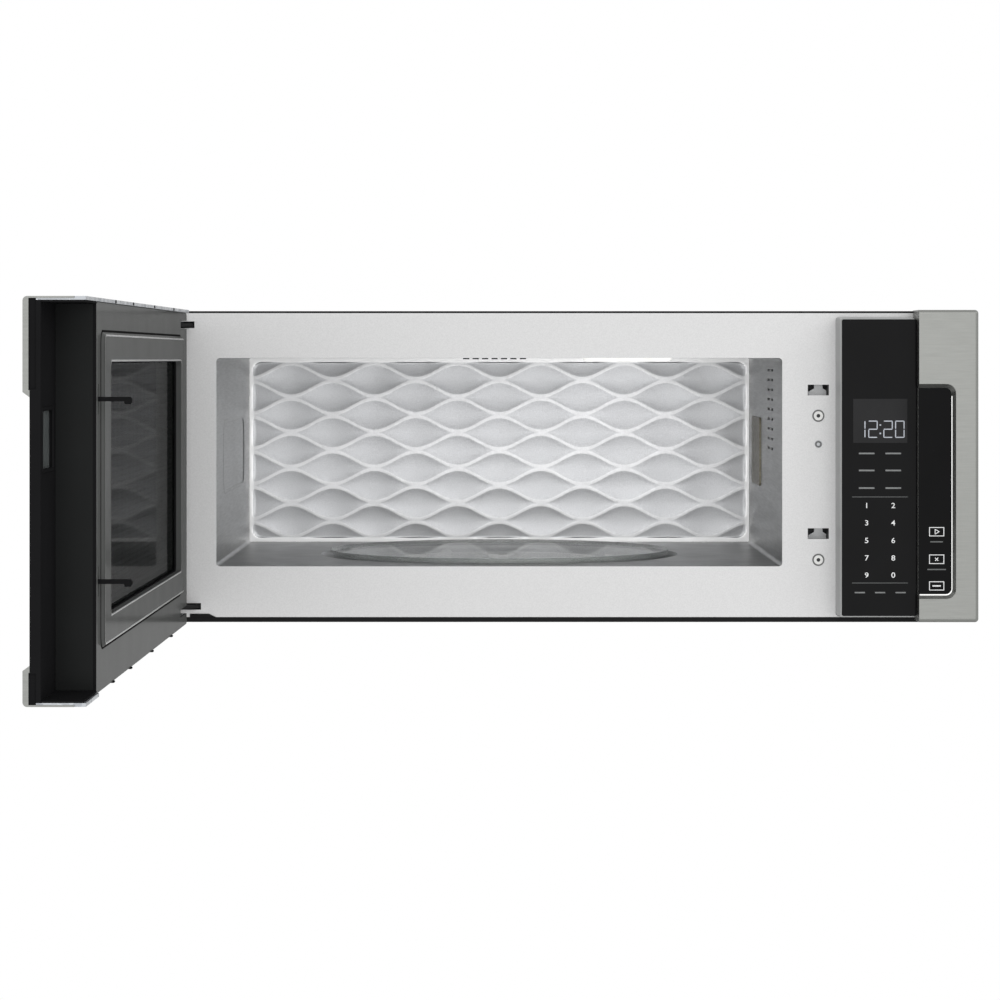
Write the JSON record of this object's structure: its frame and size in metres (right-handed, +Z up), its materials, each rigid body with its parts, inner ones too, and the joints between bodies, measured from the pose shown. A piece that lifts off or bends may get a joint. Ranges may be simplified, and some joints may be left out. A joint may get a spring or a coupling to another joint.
{
  "type": "over the range microwave",
  "caption": "Low profile over the range microwave with hood: side-hinged door shown open, stepped over the controls, cavity with pressed back wall, turntable, touch controls, blower, filters.",
  "frame": {"origin": "centre of the rear face that lies on the wall", "axes": "+X to the cook's right, +Y back to the wall, +Z up; the front faces -Y"},
  "size_m": [0.759, 1.095, 0.263],
  "materials": {
    "black_painted_steel": "satin black powder coat",
    "pale_frame_steel": "fine speckled pale grey paint",
    "cavity_steel": "stainless cavity, fine brushed",
    "pressed_steel": "pressed stainless, satin",
    "galvanised": "galvanised sheet",
    "stainless": "brushed stainless, horizontal grain",
    "black_glass": "black glass, gloss",
    "clear_glass": "clear glass",
    "tinted_pane": "grey tinted pane",
    "black_plastic": "moulded black plastic, fine grain",
    "grey_plastic": "grey gloss moulded inner frame",
    "bezel_grey": "grey moulded plastic",
    "white_nylon": "white nylon",
    "mica": "mica sheet",
    "screen_steel": "black perforated screen",
    "circuit_board": "green circuit board",
    "copper_winding": "enamelled copper winding",
    "motor_steel": "zinc plated steel",
    "filter_mesh": "aluminium filter mesh",
    "spring_steel": "bright spring wire",
    "glass_tray": "clear tempered glass tray",
    "polymer_ring": "off-white heat-proof plastic"
  },
  "bodies": {
    "cabinet": {"outer_wrap": "black_painted_steel", "back_panel": "galvanised", "base_pan": "black_painted_steel", "front_frame": "pale_frame_steel", "oven_cavity": "cavity_steel", "cavity_back_panel": "pressed_steel", "waveguide_cover": "mica", "cavity_lamp_cover": "clear_glass", "cavity_lamp": "motor_steel", "left_column": "stainless", "right_trim": "stainless", "trim_carrier": "black_plastic", "touch_insert": "black_glass", "control_bezel": "bezel_grey", "control_glass": "black_glass", "display_module": "black_plastic", "control_board": "circuit_board", "door_bumpers": "white_nylon", "latch_block": "black_plastic", "interlock_switches": "black_plastic", "turntable_motor": "motor_steel", "exhaust_duct": "galvanised", "vent_scroll": "galvanised", "vent_motor": "motor_steel", "grease_filters": "filter_mesh", "cooktop_lamp_lenses": "clear_glass", "cooktop_lamps": "galvanised", "top_mount_nuts": "galvanised", "waveguide": "galvanised", "magnetron": "motor_steel", "transformer": "copper_winding", "capacitor": "motor_steel", "cooling_fan_motor": "motor_steel", "screws": "spring_steel", "upper_hinge": "motor_steel", "lower_hinge": "motor_steel"},
    "door": {"door_skin": "stainless", "door_moulding": "black_plastic", "door_glass": "black_glass", "door_chassis": "galvanised", "choke_cover": "grey_plastic", "inner_glass": "clear_glass", "door_screen": "screen_steel", "end_liner": "black_plastic", "display_window": "tinted_pane", "door_bushes": "white_nylon", "latch_spring": "spring_steel"},
    "latch": {"latch_bar": "black_plastic"},
    "turntable": {"turntable_tray": "glass_tray", "drive_coupler": "polymer_ring"},
    "ring": {"roller_ring": "polymer_ring"},
    "wheel_1": {"roller_1": "polymer_ring"},
    "wheel_2": {"roller_2": "polymer_ring"},
    "wheel_3": {"roller_3": "polymer_ring"},
    "vent_rotor": {"vent_wheels": "galvanised"},
    "fan_rotor": {"cooling_fan_blade": "black_plastic"},
    "damper": {"damper_flap": "galvanised"}
  },
  "joints": [
    {"name": "door_hinge", "type": "hinge", "parent": "cabinet", "child": "door", "pos_m": [-0.312, -0.4545, 0], "axis": [0, 0, 1], "range_deg": [-15, 90.5]},
    {"name": "latch_lift", "type": "slide", "parent": "door", "child": "latch", "axis": [0, 0, 1], "range_m": [0, 0.0025], "stiffness_N_per_m": 300, "springref_m": -0.008, "deforming": ["latch_spring"]},
    {"name": "turntable_spin", "type": "hinge", "parent": "cabinet", "child": "turntable", "pos_m": [-0.0186, -0.232, -0.08485], "axis": [0, 0, 1], "continuous": true},
    {"name": "ring_spin", "type": "hinge", "parent": "cabinet", "child": "ring", "pos_m": [-0.0186, -0.232, -0.09005], "axis": [0, 0, 1], "continuous": true},
    {"name": "vent_spin", "type": "hinge", "parent": "cabinet", "child": "vent_rotor", "pos_m": [-0.336, -0.066, 0], "axis": [1, 0, 0], "continuous": true},
    {"name": "fan_spin", "type": "hinge", "parent": "cabinet", "child": "fan_rotor", "pos_m": [0.312, -0.1745, 0.006], "axis": [0, 1, 0], "continuous": true},
    {"name": "damper_swing", "type": "hinge", "parent": "cabinet", "child": "damper", "pos_m": [0, -0.02, 0.1274], "axis": [-1, 0, 0], "range_deg": [0, 75]},
    {"name": "wheel_1_spin", "type": "hinge", "parent": "ring", "child": "wheel_1", "pos_m": [0.0794, -0.232, -0.09005], "axis": [1, 0, 0], "continuous": true},
    {"name": "wheel_2_spin", "type": "hinge", "parent": "ring", "child": "wheel_2", "pos_m": [-0.0676, -0.14713, -0.09005], "axis": [-0.5, 0.866, 0], "continuous": true},
    {"name": "wheel_3_spin", "type": "hinge", "parent": "ring", "child": "wheel_3", "pos_m": [-0.0676, -0.31687, -0.09005], "axis": [-0.5, -0.866, 0], "continuous": true}
  ],
  "couplings": [
    {"joint": "ring_spin", "follows": "turntable_spin", "ratio": 0.5},
    {"joint": "wheel_1_spin", "follows": "turntable_spin", "ratio": -9.8},
    {"joint": "wheel_2_spin", "follows": "turntable_spin", "ratio": -9.8},
    {"joint": "wheel_3_spin", "follows": "turntable_spin", "ratio": -9.8}
  ]
}
